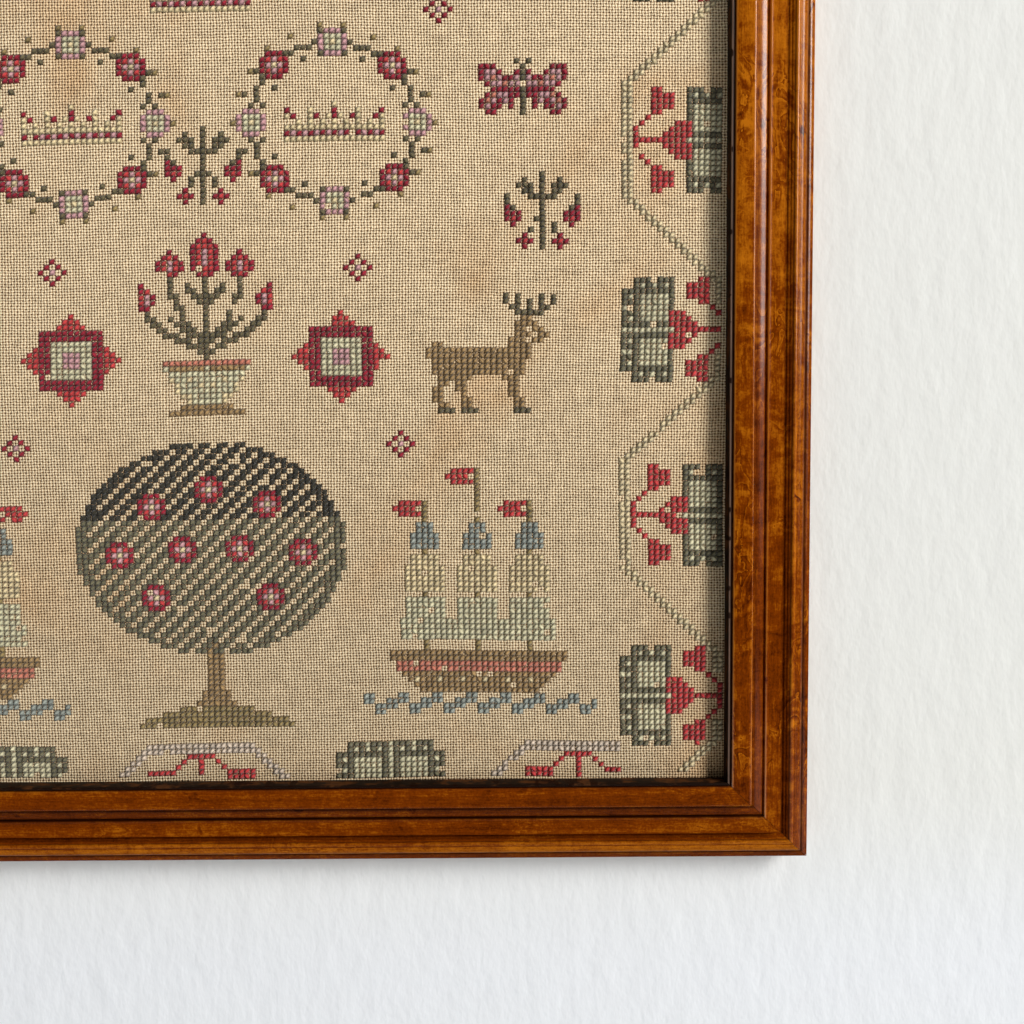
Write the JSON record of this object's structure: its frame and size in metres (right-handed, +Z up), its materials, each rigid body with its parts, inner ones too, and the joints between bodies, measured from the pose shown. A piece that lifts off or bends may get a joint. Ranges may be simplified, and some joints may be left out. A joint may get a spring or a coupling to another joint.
{
  "type": "framed cross stitch sampler with wooden picture frame",
  "caption": "Stitched linen sampler sheet in a mitred maple picture frame with ebonised inner slips and a backing board, hung flat on a wall.",
  "frame": {"origin": "middle of the flat back face of the top rail, against the wall", "axes": "+X to the right seen from the front, +Y out of the back towards the wall, +Z up; the front faces -Y"},
  "size_m": [0.3944, 0.022, 0.4614],
  "materials": {
    "maple": "amber shellac polish over bird's-eye maple",
    "ebonised": "worn black stain under thin polish",
    "linen": "matt even-weave linen with wool cross stitch",
    "board": "plain sanded thin board"
  },
  "bodies": {
    "root": {"rail_top": "maple", "rail_right": "maple", "rail_bottom": "maple", "rail_left": "maple", "slip_top": "ebonised", "slip_right": "ebonised", "slip_bottom": "ebonised", "slip_left": "ebonised", "sampler_cloth": "linen", "backboard": "board"}
  },
  "joints": []
}
